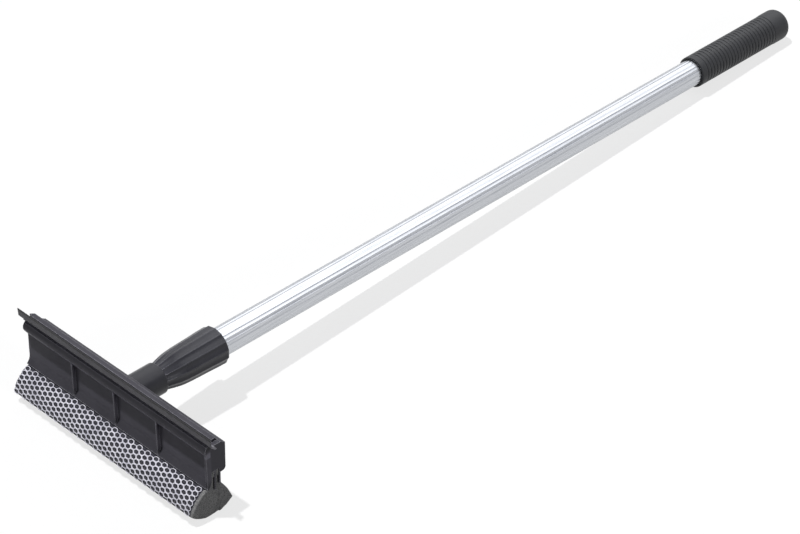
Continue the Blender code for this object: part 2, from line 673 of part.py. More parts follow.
def lay_down(tool):
    """Tilts the tool onto the table and puts the origin under the middle of its outline."""
    tool.rotation_euler = (-rest_tilt(), 0.0, 0.0)
    bpy.context.view_layer.update()
    turn = Matrix.Rotation(-rest_tilt(), 3, "X")
    centre, radius = crown_circle()
    table = (turn @ Vector((0.0, *centre))).z - radius + REST_CUT
    back = max(places_along("grip"))
    front = min(places_along("net_cover"))
    tool.location = (0.0, -(front + back) / 2, -table)


def main():
    for obj in list(bpy.data.objects):
        bpy.data.objects.remove(obj)
    moulded = principled("moulded_charcoal", (0.046, 0.048, 0.053), 0.45)
    rubber = principled("blade_rubber", (0.060, 0.060, 0.064), 0.55)
    foam = principled("sponge_foam", (0.075, 0.075, 0.076), 0.95)
    net = principled("net_yarn", (0.480, 0.470, 0.540), 0.60)
    alloy = principled("anodised_alloy", (0.620, 0.630, 0.650), 0.32, 1.0)
    vinyl = principled("grip_vinyl", (0.034, 0.036, 0.040), 0.50)
    tool = empty("tool", None, (0.0, 0.0, 0.0))
    channel = (BLADE_FRONT_Y, CHANNEL_FOOT)
    track = empty("blade_track", tool, (0.0, *channel))
    axis = empty("handle_axis", tool, (0.0, NECK_END_Y, 0.0))
    make_head(tool, moulded)
    make_blade(track, channel, rubber)
    make_strip(track, channel, moulded)
    make_sponge(tool, foam)
    make_core(tool, moulded)
    make_net(tool, net)
    make_adapter(axis, moulded)
    make_pole(axis, alloy)
    make_grip(axis, vinyl)
    lay_down(tool)


main()
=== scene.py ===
import math

import bmesh
import bpy
from mathutils import Matrix, Vector, noise


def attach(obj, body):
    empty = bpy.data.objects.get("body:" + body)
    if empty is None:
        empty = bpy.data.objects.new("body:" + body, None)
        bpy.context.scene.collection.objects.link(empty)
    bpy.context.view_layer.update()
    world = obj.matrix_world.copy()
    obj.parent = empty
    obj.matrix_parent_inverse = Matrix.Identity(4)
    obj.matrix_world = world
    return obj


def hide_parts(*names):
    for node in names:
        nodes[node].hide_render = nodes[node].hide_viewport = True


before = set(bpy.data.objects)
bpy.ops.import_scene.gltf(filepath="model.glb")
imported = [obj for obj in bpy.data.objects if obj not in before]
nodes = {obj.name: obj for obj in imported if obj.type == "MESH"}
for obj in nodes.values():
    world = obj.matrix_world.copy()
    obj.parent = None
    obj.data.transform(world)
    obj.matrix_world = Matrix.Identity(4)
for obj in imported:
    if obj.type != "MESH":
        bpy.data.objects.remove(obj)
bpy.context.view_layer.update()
print("frame loaded:", ", ".join(sorted(nodes)))


# small tools that every piece uses, all lengths in metres

def srgb(hexText):
    channels = [int(hexText[i:i + 2], 16) / 255 for i in (1, 3, 5)]
    linear = [c / 12.92 if c <= 0.04045 else ((c + 0.055) / 1.055) ** 2.4 for c in channels]
    return (*linear, 1.0)


def grey(value):
    return (value, value, value, 1.0)


def addNode(tree, kind, inputs=None, stops=(), **settings):
    # an input takes a value, a socket, or a node, whose first output is linked; stops are a colour ramp's
    node = tree.nodes.new(kind)
    for name, value in settings.items():
        setattr(node, name, value)
    for socket, value in (inputs or {}).items():
        if isinstance(value, bpy.types.Node):
            value = value.outputs[0]
        if isinstance(value, bpy.types.NodeSocket):
            tree.links.new(value, node.inputs[socket])
        else:
            node.inputs[socket].default_value = value
    for spare in stops[2:]:
        node.color_ramp.elements.new(0.5)
    for place, (position, colour) in enumerate(stops):
        node.color_ramp.elements[place].position = position
        node.color_ramp.elements[place].color = colour
    return node


def startMaterial(name, **shaderValues):
    material = bpy.data.materials.new(name)
    material.use_nodes = True
    tree = material.node_tree
    shader = tree.nodes["Principled BSDF"]
    for socket, value in shaderValues.items():
        shader.inputs[socket.replace("_", " ")].default_value = value
    return material, tree, shader


# the tool lies tilted on the table: its own frame has Y along the pole and Z from sponge to blade
toolLie = {"tilt": -2.5013993, "back": -0.3597342, "lift": 0.0453122, "neckRim": 0.0410}
toolPlace = Matrix.Translation((0.0, toolLie["back"], toolLie["lift"]))
toolPlace = toolPlace @ Matrix.Rotation(math.radians(toolLie["tilt"]), 4, "X")
toTool = toolPlace.inverted()
handlePlace = toolPlace @ Matrix.Translation((0.0, toolLie["neckRim"], 0.0))

meshLook = {
    "merge": 1e-6, "flatAngle": 0.6,  # what is merged, and the degrees under which faces are one face
    "bevelSteps": 2, "bevelAngle": 28, "flatWeight": 80,
    "loftCrease": 40,
}


def linkedObject(name, mesh):
    obj = bpy.data.objects.new(name, mesh)
    bpy.context.scene.collection.objects.link(obj)
    return obj


def finishMesh(name, mesh, material, body, node, place=None):
    if place is not None:
        mesh.transform(place)
    obj = linkedObject(name, mesh)
    obj.data.materials.clear()
    obj.data.materials.append(material)
    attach(obj, body)
    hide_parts(node)
    return obj


def bakeModifiers(obj):
    graph = bpy.context.evaluated_depsgraph_get()
    mesh = bpy.data.meshes.new_from_object(obj.evaluated_get(graph), depsgraph=graph)
    bpy.data.objects.remove(obj)
    return mesh


def softenedCopy(node, width):
    # the CAD shape with its flat faces made whole again and its edges rounded
    bm = bmesh.new()
    bm.from_mesh(nodes[node].data)
    bmesh.ops.remove_doubles(bm, verts=bm.verts, dist=meshLook["merge"])
    flatAngle = math.radians(meshLook["flatAngle"])
    bmesh.ops.dissolve_limit(bm, angle_limit=flatAngle, verts=bm.verts, edges=bm.edges)
    mesh = bpy.data.meshes.new(node + "_soft")
    bm.to_mesh(mesh)
    bm.free()
    mesh.shade_smooth()
    obj = linkedObject(node + "_soft", mesh)
    bevel = obj.modifiers.new("rounded edges", "BEVEL")
    bevel.width = width
    bevel.segments = meshLook["bevelSteps"]
    bevel.limit_method = "ANGLE"
    bevel.angle_limit = math.radians(meshLook["bevelAngle"])
    bevel.use_clamp_overlap = True
    bevel.miter_outer = "MITER_ARC"
    flat = obj.modifiers.new("flat faces stay flat", "WEIGHTED_NORMAL")
    flat.keep_sharp = True
    flat.weight = meshLook["flatWeight"]
    return bakeModifiers(obj)


def loftMesh(name, rings):
    # a skin over rings of points, where a ring of one point closes the end
    bm = bmesh.new()
    rows = [[bm.verts.new(point) for point in ring] for ring in rings]
    for first, second in zip(rows, rows[1:]):
        count = max(len(first), len(second))
        for i in range(count):
            j = (i + 1) % count
            corners = [first[i % len(first)], first[j % len(first)]]
            corners += [second[j % len(second)], second[i % len(second)]]
            bm.faces.new(list(dict.fromkeys(corners)))
    bmesh.ops.recalc_face_normals(bm, faces=bm.faces)
    mesh = bpy.data.meshes.new(name)
    bm.to_mesh(mesh)
    bm.free()
    mesh.shade_smooth()
    mesh.set_sharp_from_angle(angle=math.radians(meshLook["loftCrease"]))
    return mesh


def ringAt(radius, y, sides, drop=None):
    # drop says how far each point of the ring sinks below the radius
    if radius == 0.0:
        return [(0.0, y, 0.0)]
    points = []
    for i in range(sides):
        angle = math.tau * i / sides - math.pi / 2
        r = radius - (drop(i) if drop else 0.0)
        points.append((r * math.cos(angle), y, r * math.sin(angle)))
    return points


def eased(xs, ys, x):
    # cubic through the stations, with no overshoot
    for i in range(len(xs) - 1):
        if x <= xs[i + 1]:
            break
    slopes = [(ys[k + 1] - ys[k]) / (xs[k + 1] - xs[k]) for k in range(len(xs) - 1)]

    def tangent(k):
        if k == 0 or k == len(xs) - 1:
            return slopes[max(k - 1, 0)]
        a, b = slopes[k - 1], slopes[k]
        return 0.0 if a * b <= 0 else 2 * a * b / (a + b)

    h = xs[i + 1] - xs[i]
    t = min(max((x - xs[i]) / h, 0.0), 1.0)
    return ((2 * t ** 3 - 3 * t ** 2 + 1) * ys[i] + (t ** 3 - 2 * t ** 2 + t) * h * tangent(i)
            + (3 * t ** 2 - 2 * t ** 3) * ys[i + 1] + (t ** 3 - t ** 2) * h * tangent(i + 1))


def geometryTree(name, inputs):
    tree = bpy.data.node_groups.new(name, "GeometryNodeTree")
    tree.interface.new_socket("Geometry", in_out="INPUT", socket_type="NodeSocketGeometry")
    kinds = {int: "NodeSocketInt", float: "NodeSocketFloat", tuple: "NodeSocketVector"}
    for label, value in inputs.items():
        kind = "NodeSocketMaterial" if isinstance(value, bpy.types.Material) else kinds[type(value)]
        tree.interface.new_socket(label, in_out="INPUT", socket_type=kind)
    tree.interface.new_socket("Geometry", in_out="OUTPUT", socket_type="NodeSocketGeometry")
    return tree, addNode(tree, "NodeGroupInput").outputs


def endTree(tree, geometry, material):
    smooth = addNode(tree, "GeometryNodeSetShadeSmooth", {"Geometry": geometry})
    plain = addNode(tree, "GeometryNodeRealizeInstances", {"Geometry": smooth})
    painted = addNode(tree, "GeometryNodeSetMaterial", {"Geometry": plain, "Material": material})
    addNode(tree, "NodeGroupOutput", {0: painted})
    return tree


def runTree(name, tree, inputs, base=None):
    obj = linkedObject(name, base or bpy.data.meshes.new(name))
    modifier = obj.modifiers.new(name, "NODES")
    modifier.node_group = tree
    sockets = {item.name: item.identifier for item in tree.interface.items_tree if item.in_out == "INPUT"}
    for label, value in inputs.items():
        modifier[sockets[label]] = value
    return bakeModifiers(obj)


# moulded plastic of the head, its neck and the hand collar

# painted light and shade as shares of the base colour by height: darker at the foot, a lighter panel, a
# painted highlight on the lip, painted shade on the nose under the blade, a lighter fold
paintedFrontLightAndShade = {
    "low": 0.0253, "high": 0.0753, "front": -0.3560, "behind": -0.3549, "most": 4.0,
    "shares": ((0.0255, 0.58), (0.0290, 0.90), (0.0310, 1.26), (0.0326, 1.62), (0.0345, 1.70), (0.0400, 1.64),
               (0.0518, 1.48), (0.0528, 3.60), (0.0560, 3.40), (0.0574, 1.55), (0.0588, 0.70), (0.0602, 0.44),
               (0.0618, 0.32), (0.0624, 1.00), (0.0630, 3.00), (0.0640, 3.60)),
}


# paints light and shade: a tone scaled by height, on the side in front of a given depth only
def paintLightAndShadeByHeight(tree, place, tone, look):
    split = addNode(tree, "ShaderNodeSeparateXYZ", {0: place})
    height = addNode(tree, "ShaderNodeMapRange", {"Value": split.outputs["Z"], "From Min": look["low"],
                                                  "From Max": look["high"]})
    size = look["high"] - look["low"]
    stops = [((z - look["low"]) / size, grey(share / look["most"])) for z, share in look["shares"]]
    part = addNode(tree, "ShaderNodeValToRGB", {"Fac": height}, stops)
    share = addNode(tree, "ShaderNodeMath", {0: part, 1: look["most"]}, operation="MULTIPLY")
    front = addNode(tree, "ShaderNodeMapRange", {"Value": split.outputs["Y"], "From Min": look["behind"],
                                                 "From Max": look["front"]})
    more = addNode(tree, "ShaderNodeMath", {0: share, 1: 1.0}, operation="SUBTRACT")
    share = addNode(tree, "ShaderNodeMath", {0: more, 1: front, 2: 1.0}, operation="MULTIPLY_ADD")
    return addNode(tree, "ShaderNodeVectorMath", {0: tone, "Scale": share}, operation="SCALE")


# grain is in millimetres, drawn coarser than real spark erosion so that it shows
headFinish = {
    "name": "texturedMouldedAbs", "base": "#3a393f", "cloudy": "#414046", "edgeWearAndHighlight": "#8e8d94",
    "grain": 0.45, "edgeWearAndHighlightGain": 2.6, "shine": 0.08, "smooth": 0.42, "dull": 0.54,
}
neckFinish = {
    "name": "polishedMouldedAbs", "base": "#222227", "cloudy": "#29292e", "edgeWearAndHighlight": "#66656d",
    "grain": 0.30, "edgeWearAndHighlightGain": 1.3, "shine": 0.22, "smooth": 0.28, "dull": 0.36,
}
collarFinish = {
    "name": "mouldedCollarAbs", "base": "#27272d", "cloudy": "#2f2f35", "edgeWearAndHighlight": "#8a8a92",
    "grain": 0.50, "edgeWearAndHighlightGain": 2.6, "shine": 0.22, "smooth": 0.25, "dull": 0.32,
}


def mouldedPlastic(finish, heights=None):
    # Injection moulded ABS: a spark eroded grain breaks up the shine, and edges are paler, partly from
    # rubbing and partly as a painted highlight
    material, tree, shader = startMaterial(finish["name"], IOR=1.53, Specular_IOR_Level=finish["shine"])
    place = addNode(tree, "ShaderNodeTexCoord").outputs["Object"]
    # patches of about 24 mm, the unevenness of a moulding's gloss
    cloud = addNode(tree, "ShaderNodeTexNoise", {"Vector": place, "Scale": 42.0, "Detail": 4.0})
    cloud = cloud.outputs["Fac"]
    tone = addNode(tree, "ShaderNodeValToRGB", {"Fac": cloud},
                   [(0.3, srgb(finish["base"])), (0.7, srgb(finish["cloudy"]))])
    # the head's front takes painted light and shade by height
    if heights:
        tone = paintLightAndShadeByHeight(tree, place, tone, heights)
    # an edge is where the rounded normal leaves the face's own
    rounded = addNode(tree, "ShaderNodeBevel", {"Radius": 0.0007}, samples=4)
    own = addNode(tree, "ShaderNodeNewGeometry").outputs["Normal"]
    apart = addNode(tree, "ShaderNodeVectorMath", {0: rounded, 1: own}, operation="DISTANCE")
    wearAndHighlight = addNode(tree, "ShaderNodeMath", {0: apart.outputs["Value"], 1: cloud}, operation="MULTIPLY")
    wearAndHighlight = addNode(tree, "ShaderNodeMath", {0: wearAndHighlight, 1: finish["edgeWearAndHighlightGain"]}, operation="MULTIPLY")
    wearAndHighlight = addNode(tree, "ShaderNodeMath", {0: wearAndHighlight, 1: 1.0}, operation="MINIMUM")
    # the paler edge is rubbed wear together with a painted highlight
    colour = addNode(tree, "ShaderNodeMix", {0: wearAndHighlight, 6: tone, 7: srgb(finish["edgeWearAndHighlight"])}, data_type="RGBA")
    tree.links.new(colour.outputs[2], shader.inputs["Base Color"])
    gloss = addNode(tree, "ShaderNodeValToRGB", {"Fac": cloud},
                    [(0.25, grey(finish["smooth"])), (0.75, grey(finish["dull"]))])
    tree.links.new(gloss.outputs[0], shader.inputs["Roughness"])
    grain = addNode(tree, "ShaderNodeTexNoise", {"Vector": place, "Scale": 1000.0 / finish["grain"],
                                                 "Detail": 3.0})
    bump = addNode(tree, "ShaderNodeBump", {"Height": grain.outputs["Fac"], "Strength": 0.35,
                                            "Distance": 0.00006})
    tree.links.new(bump.outputs[0], shader.inputs["Normal"])
    return material


headPlastic = mouldedPlastic(headFinish, paintedFrontLightAndShade)
neckPlastic = mouldedPlastic(neckFinish)
collarPlastic = mouldedPlastic(collarFinish)
print("moulded plastics made")


# moulded head, clamp strip and blade: the CAD shapes with the small radii that a mould gives

headLook = {"edge": 0.00035, "neckStart": 0.0176}
stripLook = {"edge": 0.00025}
bladeLook = {"edge": 0.00016, "base": "#504f54", "bloom": "#5b5a5f", "smooth": 0.42, "dull": 0.60}
# the blade by height: painted light in the shaded fold over the nose, and painted shade on the wiping edge,
# which is cut clean
bladePaintedLightAndShade = {
    "low": 0.0600, "high": 0.0730, "front": 0.0, "behind": 1.0, "most": 3.0,
    "shares": ((0.0615, 2.80), (0.0654, 2.60), (0.0668, 1.00), (0.0709, 1.00), (0.0714, 0.16)),
}


def bladeRubber():
    # Extruded EPDM rubber: dull black with a pale bloom, and fine draw lines along its length
    material, tree, shader = startMaterial("extrudedEpdmRubber", IOR=1.52, Specular_IOR_Level=0.2)
    place = addNode(tree, "ShaderNodeTexCoord").outputs["Object"]
    # bloom in patches of about 17 mm
    bloom = addNode(tree, "ShaderNodeTexNoise", {"Vector": place, "Scale": 60.0, "Detail": 5.0})
    bloom = bloom.outputs["Fac"]
    tone = addNode(tree, "ShaderNodeValToRGB", {"Fac": bloom},
                   [(0.35, srgb(bladeLook["base"])), (0.75, srgb(bladeLook["bloom"]))])
    # painted light in the fold and painted shade along the top of the wiping edge
    tone = paintLightAndShadeByHeight(tree, place, tone, bladePaintedLightAndShade)
    tree.links.new(tone.outputs[0], shader.inputs["Base Color"])
    gloss = addNode(tree, "ShaderNodeValToRGB", {"Fac": bloom},
                    [(0.3, grey(bladeLook["smooth"])), (0.7, grey(bladeLook["dull"]))])
    tree.links.new(gloss.outputs[0], shader.inputs["Roughness"])
    # draw lines 1.1 mm apart and 250 mm long
    drawn = addNode(tree, "ShaderNodeMapping", {"Vector": place, "Scale": (4.0, 900.0, 900.0)})
    lines = addNode(tree, "ShaderNodeTexNoise", {"Vector": drawn, "Scale": 1.0, "Detail": 2.0})
    bump = addNode(tree, "ShaderNodeBump", {"Height": lines.outputs["Fac"], "Strength": 0.25,
                                            "Distance": 0.00005})
    tree.links.new(bump.outputs[0], shader.inputs["Normal"])
    return material


headPiece = finishMesh("mouldedHead", softenedCopy("head_frame", headLook["edge"]), headPlastic,
                       "head", "head_frame")
headPiece.data.materials.append(neckPlastic)
for face in headPiece.data.polygons:
    if (toTool @ face.center).y > headLook["neckStart"]:
        face.material_index = 1
finishMesh("clampStrip", softenedCopy("blade_clamp_strip", stripLook["edge"]), headPlastic,
           "blade_set", "blade_clamp_strip")
finishMesh("wiperBlade", softenedCopy("squeegee_blade", bladeLook["edge"]), bladeRubber(),
           "blade_set", "squeegee_blade")
nodes["sponge_core_strip"].data.materials.clear()
nodes["sponge_core_strip"].data.materials.append(headPlastic)
print("head, strip and blade made")


# fluted hand collar, with the plug that goes into the neck

collar = {
    "length": 0.0548, "gap": 0.0003, "startRadius": 0.0105, "endRadius": 0.0151,
    "flutes": 14, "fluteDepth": 0.0007, "pointsPerFlute": 16, "ridgeSoftness": 0.03,
    "plugRadius": 0.0086, "plugLength": 0.0225, "plugChamfer": 0.0006,
    "poleRadius": 0.0110, "poleSeat": 0.0340, "mouthChamfer": (0.0003, 0.0004),
    "rimRadius": 0.0012, "rimSteps": 5, "stations": 44, "crowding": 1.15,
    "along": (0.00, 0.05, 0.105, 0.16, 0.215, 0.27, 0.34, 0.435, 0.60, 0.765, 0.875, 1.0),
    "wide": (0.00, 0.13, 0.28, 0.42, 0.55, 0.64, 0.71, 0.775, 0.84, 0.91, 0.975, 1.00),
}


def fluteDrop(i):
    soft = collar["ridgeSoftness"]
    share = math.sin(math.pi * (i % collar["pointsPerFlute"]) / collar["pointsPerFlute"])
    return collar["fluteDepth"] * (math.hypot(share, soft) - soft) / (math.hypot(1.0, soft) - soft)


def makeCollar():
    sides = collar["flutes"] * collar["pointsPerFlute"]
    gap = collar["gap"]
    length = collar["length"]
    plug = collar["plugRadius"]
    plugTip = gap - collar["plugLength"]
    chamfer = collar["plugChamfer"]
    rings = [ringAt(0.0, plugTip, sides), ringAt(plug - chamfer, plugTip, sides),
             ringAt(plug, plugTip + chamfer, sides), ringAt(plug, gap, sides)]
    rim = collar["rimRadius"]
    body = length - gap - rim
    for k in range(collar["stations"] + 1):
        share = (k / collar["stations"]) ** collar["crowding"]
        wide = eased(collar["along"], collar["wide"], share)
        radius = collar["startRadius"] + (collar["endRadius"] - collar["startRadius"]) * wide
        rings.append(ringAt(radius, gap + body * share, sides, fluteDrop))
    for k in range(1, collar["rimSteps"] + 1):
        # the flutes fade out round the rim
        turn = math.pi / 2 * k / collar["rimSteps"]
        fade = math.cos(turn)
        radius = collar["endRadius"] - rim * (1 - fade)
        y = length - rim * (1 - math.sin(turn))
        rings.append(ringAt(radius, y, sides, lambda i, fade=fade: fluteDrop(i) * fade))
    bore = collar["poleRadius"] + gap
    seat = length - collar["poleSeat"] - gap
    wider, deeper = collar["mouthChamfer"]
    rings += [ringAt(bore + wider, length, sides), ringAt(bore, length - deeper, sides),
              ringAt(bore, seat, sides), ringAt(0.0, seat, sides)]
    return loftMesh("handCollar", rings)


finishMesh("handCollar", makeCollar(), collarPlastic, "handle", "handle_adapter",
           handlePlace)
print("collar made")


# fluted pole, swept by nodes from a fluted ring

pole = {
    "start": 0.0208, "length": 0.6703, "radius": 0.0110, "flutes": 24, "fluteDepth": 0.00030,
    "sidesPerFlute": 10, "stations": 24, "crease": 50, "base": "#b3b6bb", "bright": "#c6c8cc",
}


def drawnAluminium():
    # Clear anodised, drawn aluminium tube: long fine die lines, a satin reflection, faint handling marks
    material, tree, shader = startMaterial("anodisedDrawnAluminium", Metallic=1.0)
    place = addNode(tree, "ShaderNodeTexCoord").outputs["Object"]
    # die lines 0.9 mm apart, coarser than the real ones so that they show
    drawn = addNode(tree, "ShaderNodeMapping", {"Vector": place, "Scale": (1100.0, 3.0, 1100.0)})
    lines = addNode(tree, "ShaderNodeTexNoise", {"Vector": drawn, "Scale": 1.0, "Detail": 3.0})
    lines = lines.outputs["Fac"]
    tone = addNode(tree, "ShaderNodeValToRGB", {"Fac": lines},
                   [(0.3, srgb(pole["base"])), (0.7, srgb(pole["bright"]))])
    tree.links.new(tone.outputs[0], shader.inputs["Base Color"])
    # handling marks about 40 mm across
    marks = addNode(tree, "ShaderNodeTexNoise", {"Vector": place, "Scale": 25.0, "Detail": 5.0})
    rough = addNode(tree, "ShaderNodeMath", {0: lines, 1: 0.10, 2: 0.20}, operation="MULTIPLY_ADD")
    rough = addNode(tree, "ShaderNodeMath", {0: marks.outputs["Fac"], 1: 0.12, 2: rough},
                    operation="MULTIPLY_ADD")
    tree.links.new(rough.outputs[0], shader.inputs["Roughness"])
    bump = addNode(tree, "ShaderNodeBump", {"Height": lines, "Strength": 0.3, "Distance": 0.00004})
    tree.links.new(bump.outputs[0], shader.inputs["Normal"])
    return material


def poleTree(inputs):
    tree, given = geometryTree("flutedPole", inputs)
    sides = addNode(tree, "ShaderNodeMath", {0: given["Flutes"], 1: given["Sides per Flute"]},
                    operation="MULTIPLY")
    ring = addNode(tree, "GeometryNodeCurvePrimitiveCircle", {"Resolution": sides, "Radius": given["Radius"]})
    place = addNode(tree, "GeometryNodeInputPosition")
    split = addNode(tree, "ShaderNodeSeparateXYZ", {0: place})
    angle = addNode(tree, "ShaderNodeMath", {0: split.outputs["Y"], 1: split.outputs["X"]},
                    operation="ARCTAN2")
    turns = addNode(tree, "ShaderNodeMath", {0: angle, 1: given["Flutes"]}, operation="MULTIPLY")
    turns = addNode(tree, "ShaderNodeMath", {0: turns, 1: 0.5}, operation="MULTIPLY")
    wave = addNode(tree, "ShaderNodeMath", {0: turns}, operation="SINE")
    wave = addNode(tree, "ShaderNodeMath", {0: wave}, operation="ABSOLUTE")
    drop = addNode(tree, "ShaderNodeMath", {0: wave, 1: given["Flute Depth"]}, operation="MULTIPLY")
    share = addNode(tree, "ShaderNodeMath", {0: drop, 1: given["Radius"]}, operation="DIVIDE")
    inward = addNode(tree, "ShaderNodeMath", {0: share, 1: -1.0}, operation="MULTIPLY")
    offset = addNode(tree, "ShaderNodeVectorMath", {0: place, "Scale": inward}, operation="SCALE")
    fluted = addNode(tree, "GeometryNodeSetPosition", {"Geometry": ring, "Offset": offset})
    far = addNode(tree, "ShaderNodeMath", {0: given["Start"], 1: given["Length"]}, operation="ADD")
    lineStart = addNode(tree, "ShaderNodeCombineXYZ", {"Y": given["Start"]})
    lineEnd = addNode(tree, "ShaderNodeCombineXYZ", {"Y": far})
    line = addNode(tree, "GeometryNodeCurvePrimitiveLine", {"Start": lineStart, "End": lineEnd})
    stations = addNode(tree, "GeometryNodeResampleCurve", {"Curve": line, "Count": given["Stations"]})
    tube = addNode(tree, "GeometryNodeCurveToMesh", {"Curve": stations, "Profile Curve": fluted,
                                                     "Fill Caps": True})
    return endTree(tree, tube, given["Material"])


alloy = drawnAluminium()
poleInputs = {
    "Start": pole["start"], "Length": pole["length"], "Radius": pole["radius"], "Flutes": pole["flutes"],
    "Flute Depth": pole["fluteDepth"], "Sides per Flute": pole["sidesPerFlute"],
    "Stations": pole["stations"], "Material": alloy,
}
poleMesh = runTree("flutedPole", poleTree(poleInputs), poleInputs)
poleMesh.set_sharp_from_angle(angle=math.radians(pole["crease"]))
finishMesh("flutedPole", poleMesh, alloy, "handle", "pole", handlePlace)
print("pole made")


# ringed grip: a turned sleeve, with its ribs set along it by nodes

grip = {
    "end": 0.6947, "length": 0.1147, "bore": 0.0113, "radius": 0.0132, "endWall": 0.0033,
    "boreChamfer": (0.0004, 0.0003), "mouth": ((0.0005, 0.0), (0.0001, 0.0002), (0.0, 0.0006)),
    "plainStart": 0.0065, "rings": 23, "pitch": 0.0038, "groove": 0.0005, "ribWidth": 0.0031,
    "ribCorner": 0.00042, "ribSteps": 3, "bandRamps": (0.0004, 0.0003),
    "collarWidth": 0.0012, "swell": 0.0003, "swellLength": 0.0040,
    "endStraight": 0.002, "endRadius": 0.0065, "endSteps": 12, "sides": 72,
    "base": "#222326", "cloudy": "#2a2b2e", "smooth": 0.42, "dull": 0.55,
}


def mouldedVinyl():
    # Moulded PVC: waxy black, with a broad dull highlight over a fine matt skin
    material, tree, shader = startMaterial("mouldedPvcGrip", IOR=1.53, Specular_IOR_Level=0.3)
    place = addNode(tree, "ShaderNodeTexCoord").outputs["Object"]
    # patches of about 18 mm, as hands leave them
    cloud = addNode(tree, "ShaderNodeTexNoise", {"Vector": place, "Scale": 55.0, "Detail": 4.0})
    cloud = cloud.outputs["Fac"]
    tone = addNode(tree, "ShaderNodeValToRGB", {"Fac": cloud},
                   [(0.3, srgb(grip["base"])), (0.7, srgb(grip["cloudy"]))])
    tree.links.new(tone.outputs[0], shader.inputs["Base Color"])
    gloss = addNode(tree, "ShaderNodeValToRGB", {"Fac": cloud},
                    [(0.3, grey(grip["smooth"])), (0.7, grey(grip["dull"]))])
    tree.links.new(gloss.outputs[0], shader.inputs["Roughness"])
    # the skin's grain, 0.7 mm
    skin = addNode(tree, "ShaderNodeTexNoise", {"Vector": place, "Scale": 1500.0, "Detail": 2.0})
    bump = addNode(tree, "ShaderNodeBump", {"Height": skin.outputs["Fac"], "Strength": 0.3,
                                            "Distance": 0.00005})
    tree.links.new(bump.outputs[0], shader.inputs["Normal"])
    return material


def gripSleeve():
    mouth = grip["end"] - grip["length"]
    floor = grip["end"] - grip["endWall"]
    outer = grip["radius"]
    wider, deeper = grip["boreChamfer"]
    bore = grip["bore"]
    profile = [(0.0, floor), (bore, floor), (bore, mouth + deeper), (bore + wider, mouth)]
    profile += [(outer - inset, mouth + along) for inset, along in grip["mouth"]]
    # the sunk band that carries the rings
    firstRing = mouth + grip["plainStart"]
    lastRing = firstRing + grip["rings"] * grip["pitch"]
    low = outer - grip["groove"]
    rampIn, rampOut = grip["bandRamps"]
    profile += [(outer, firstRing - rampIn), (low, firstRing), (low, lastRing), (outer, lastRing + rampOut)]
    # the plain end, a little swelled and rounded over
    big = outer + grip["swell"]
    curve = grip["endRadius"]
    profile += [(outer, lastRing + grip["collarWidth"]), (big, lastRing + grip["swellLength"])]
    profile.append((big, grip["end"] - curve - grip["endStraight"]))
    for k in range(grip["endSteps"] + 1):
        turn = math.pi / 2 * k / grip["endSteps"]
        profile.append((big - curve * (1 - math.cos(turn)), grip["end"] - curve * (1 - math.sin(turn))))
    profile.append((0.0, grip["end"]))
    return loftMesh("gripSleeve", [ringAt(radius, y, grip["sides"]) for radius, y in profile])


def ribTree(inputs):
    tree, given = geometryTree("gripRibs", inputs)
    first = addNode(tree, "ShaderNodeCombineXYZ", {"Y": given["First Rib"]})
    step = addNode(tree, "ShaderNodeCombineXYZ", {"Y": given["Pitch"]})
    places = addNode(tree, "GeometryNodeMeshLine", {"Count": given["Ribs"], "Start Location": first,
                                                    "Offset": step})
    loop = addNode(tree, "GeometryNodeCurvePrimitiveCircle", {"Resolution": given["Sides"],
                                                              "Radius": given["Radius"]})
    turned = addNode(tree, "GeometryNodeTransform", {"Geometry": loop, "Rotation": (math.pi / 2, 0.0, 0.0)})
    band = addNode(tree, "GeometryNodeCurvePrimitiveQuadrilateral", {"Width": given["Height"],
                                                                     "Height": given["Width"]})
    rounded = addNode(tree, "GeometryNodeFilletCurve", {"Curve": band, "Radius": given["Corner Radius"],
                                                        "Count": given["Corner Steps"]}, mode="POLY")
    rib = addNode(tree, "GeometryNodeCurveToMesh", {"Curve": turned, "Profile Curve": rounded})
    ribs = addNode(tree, "GeometryNodeInstanceOnPoints", {"Points": places, "Instance": rib})
    both = addNode(tree, "GeometryNodeJoinGeometry", {0: ribs})
    tree.links.new(given["Geometry"], both.inputs[0])
    return endTree(tree, both, given["Material"])


vinyl = mouldedVinyl()
ribInputs = {
    "First Rib": grip["end"] - grip["length"] + grip["plainStart"] + grip["pitch"] / 2,
    "Pitch": grip["pitch"], "Ribs": grip["rings"], "Radius": grip["radius"] - grip["groove"],
    "Height": 2 * grip["groove"], "Width": grip["ribWidth"], "Corner Radius": grip["ribCorner"],
    "Corner Steps": grip["ribSteps"], "Sides": grip["sides"], "Material": vinyl,
}
gripMesh = runTree("ringedGrip", ribTree(ribInputs), ribInputs, gripSleeve())
finishMesh("ringedGrip", gripMesh, vinyl, "handle", "grip", handlePlace)
print("grip made")


# the arc of the sponge's front face, in the tool's frame, which the net follows

sponge = {
    "flareCentre": (-0.0056, -0.0131686), "flareRadius": 0.0088, "flareTurn": 48.9, "gap": 0.0003,
    "frontCorner": (-0.0141, -0.0378), "frontBulge": 0.0026,
    "voxel": 0.00062, "inset": 0.0001, "endRound": 0.0010,
    "coarse": 0.00022, "coarseScale": 260.0, "fine": 0.00012, "fineScale": 900.0,
    "pillow": 0.00040, "pillowRadius": 0.0016, "pillowTop": -0.012,
}
net = {
    "left": -0.0964, "right": 0.0932, "endMargin": 0.0034, "pitchX": 0.00436, "pitchS": 0.0038, "rows": 6,
    "firstRow": 0.0023, "strand": 0.0011, "spareYarn": 0.00003, "loopOverlap": 1.15, "corner": 0.0006,
    "cornerSteps": 3, "yarnSides": 7, "uneven": 0.0003, "unevenScale": 260.0, "yarnShare": 0.55,
    "colours": ("#b0afbb", "#cac9d3", "#dedde5"),
}


def circleThrough(a, b, bulge):
    start, end = Vector(a), Vector(b)
    chord = end - start
    radius = (chord.length_squared / 4 + bulge * bulge) / (2 * bulge)
    left = Vector((-chord.y, chord.x)).normalized()
    return (start + end) / 2 - left * (radius - bulge), radius


